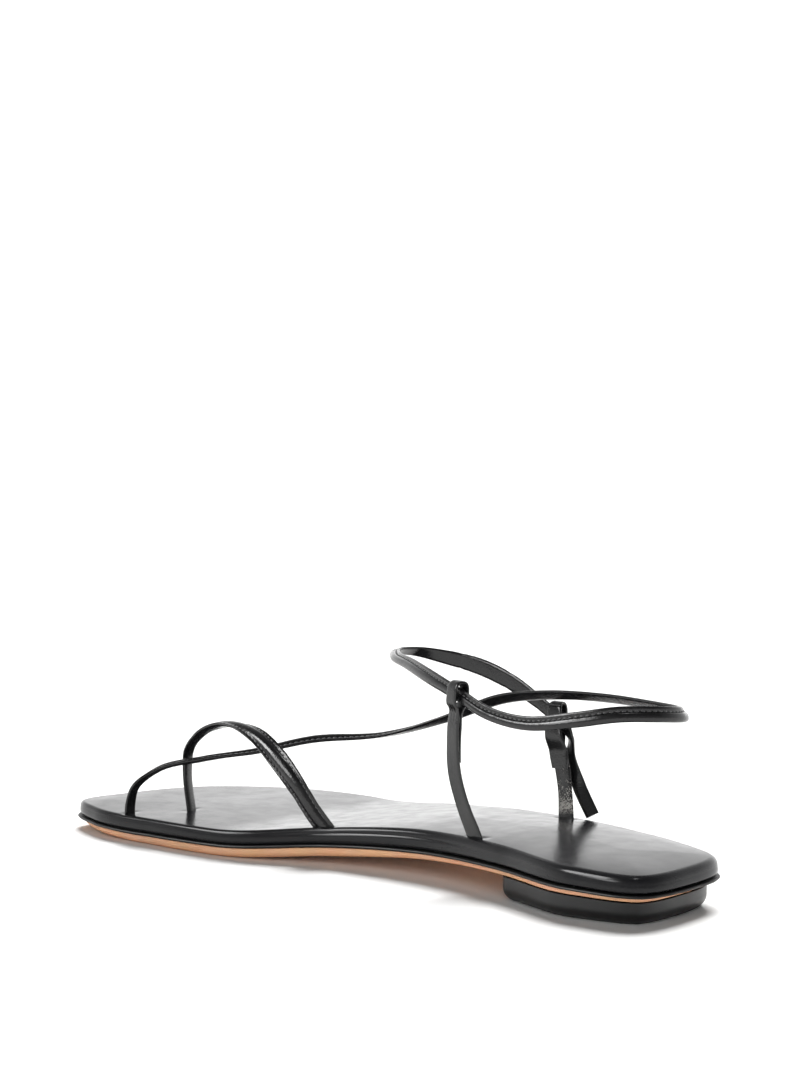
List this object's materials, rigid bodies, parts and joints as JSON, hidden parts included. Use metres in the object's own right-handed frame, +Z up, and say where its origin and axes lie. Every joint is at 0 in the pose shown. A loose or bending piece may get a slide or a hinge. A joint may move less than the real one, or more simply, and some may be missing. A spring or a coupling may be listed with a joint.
{
  "type": "strappy sandal",
  "caption": "Flat right-foot sandal with a slim arched strap over the big toe, a long narrow tie strap round the ankle, looped uprights, leather sole and low heel.",
  "frame": {"origin": "on the floor under the middle of the sole's length and width", "axes": "+X from heel to toe, +Y to the wearer's left, which is the big-toe side of this right shoe, +Z up"},
  "size_m": [0.2534, 0.086, 0.0695],
  "materials": {
    "footbed_leather": "smooth black leather with a soft gloss",
    "black_edge": "black painted edge, satin",
    "tan_leather": "natural tan sole leather, waxed edge",
    "heel_block": "black stacked heel, satin",
    "strap_leather": "black leather straps with turned edges, soft gloss"
  },
  "bodies": {
    "root": {"footbed": "footbed_leather", "midsole": "black_edge", "outsole": "tan_leather", "heel": "heel_block", "toe_strap": "strap_leather", "tie_strap": "strap_leather", "medial_upright": "strap_leather", "lateral_upright": "strap_leather"}
  },
  "joints": []
}
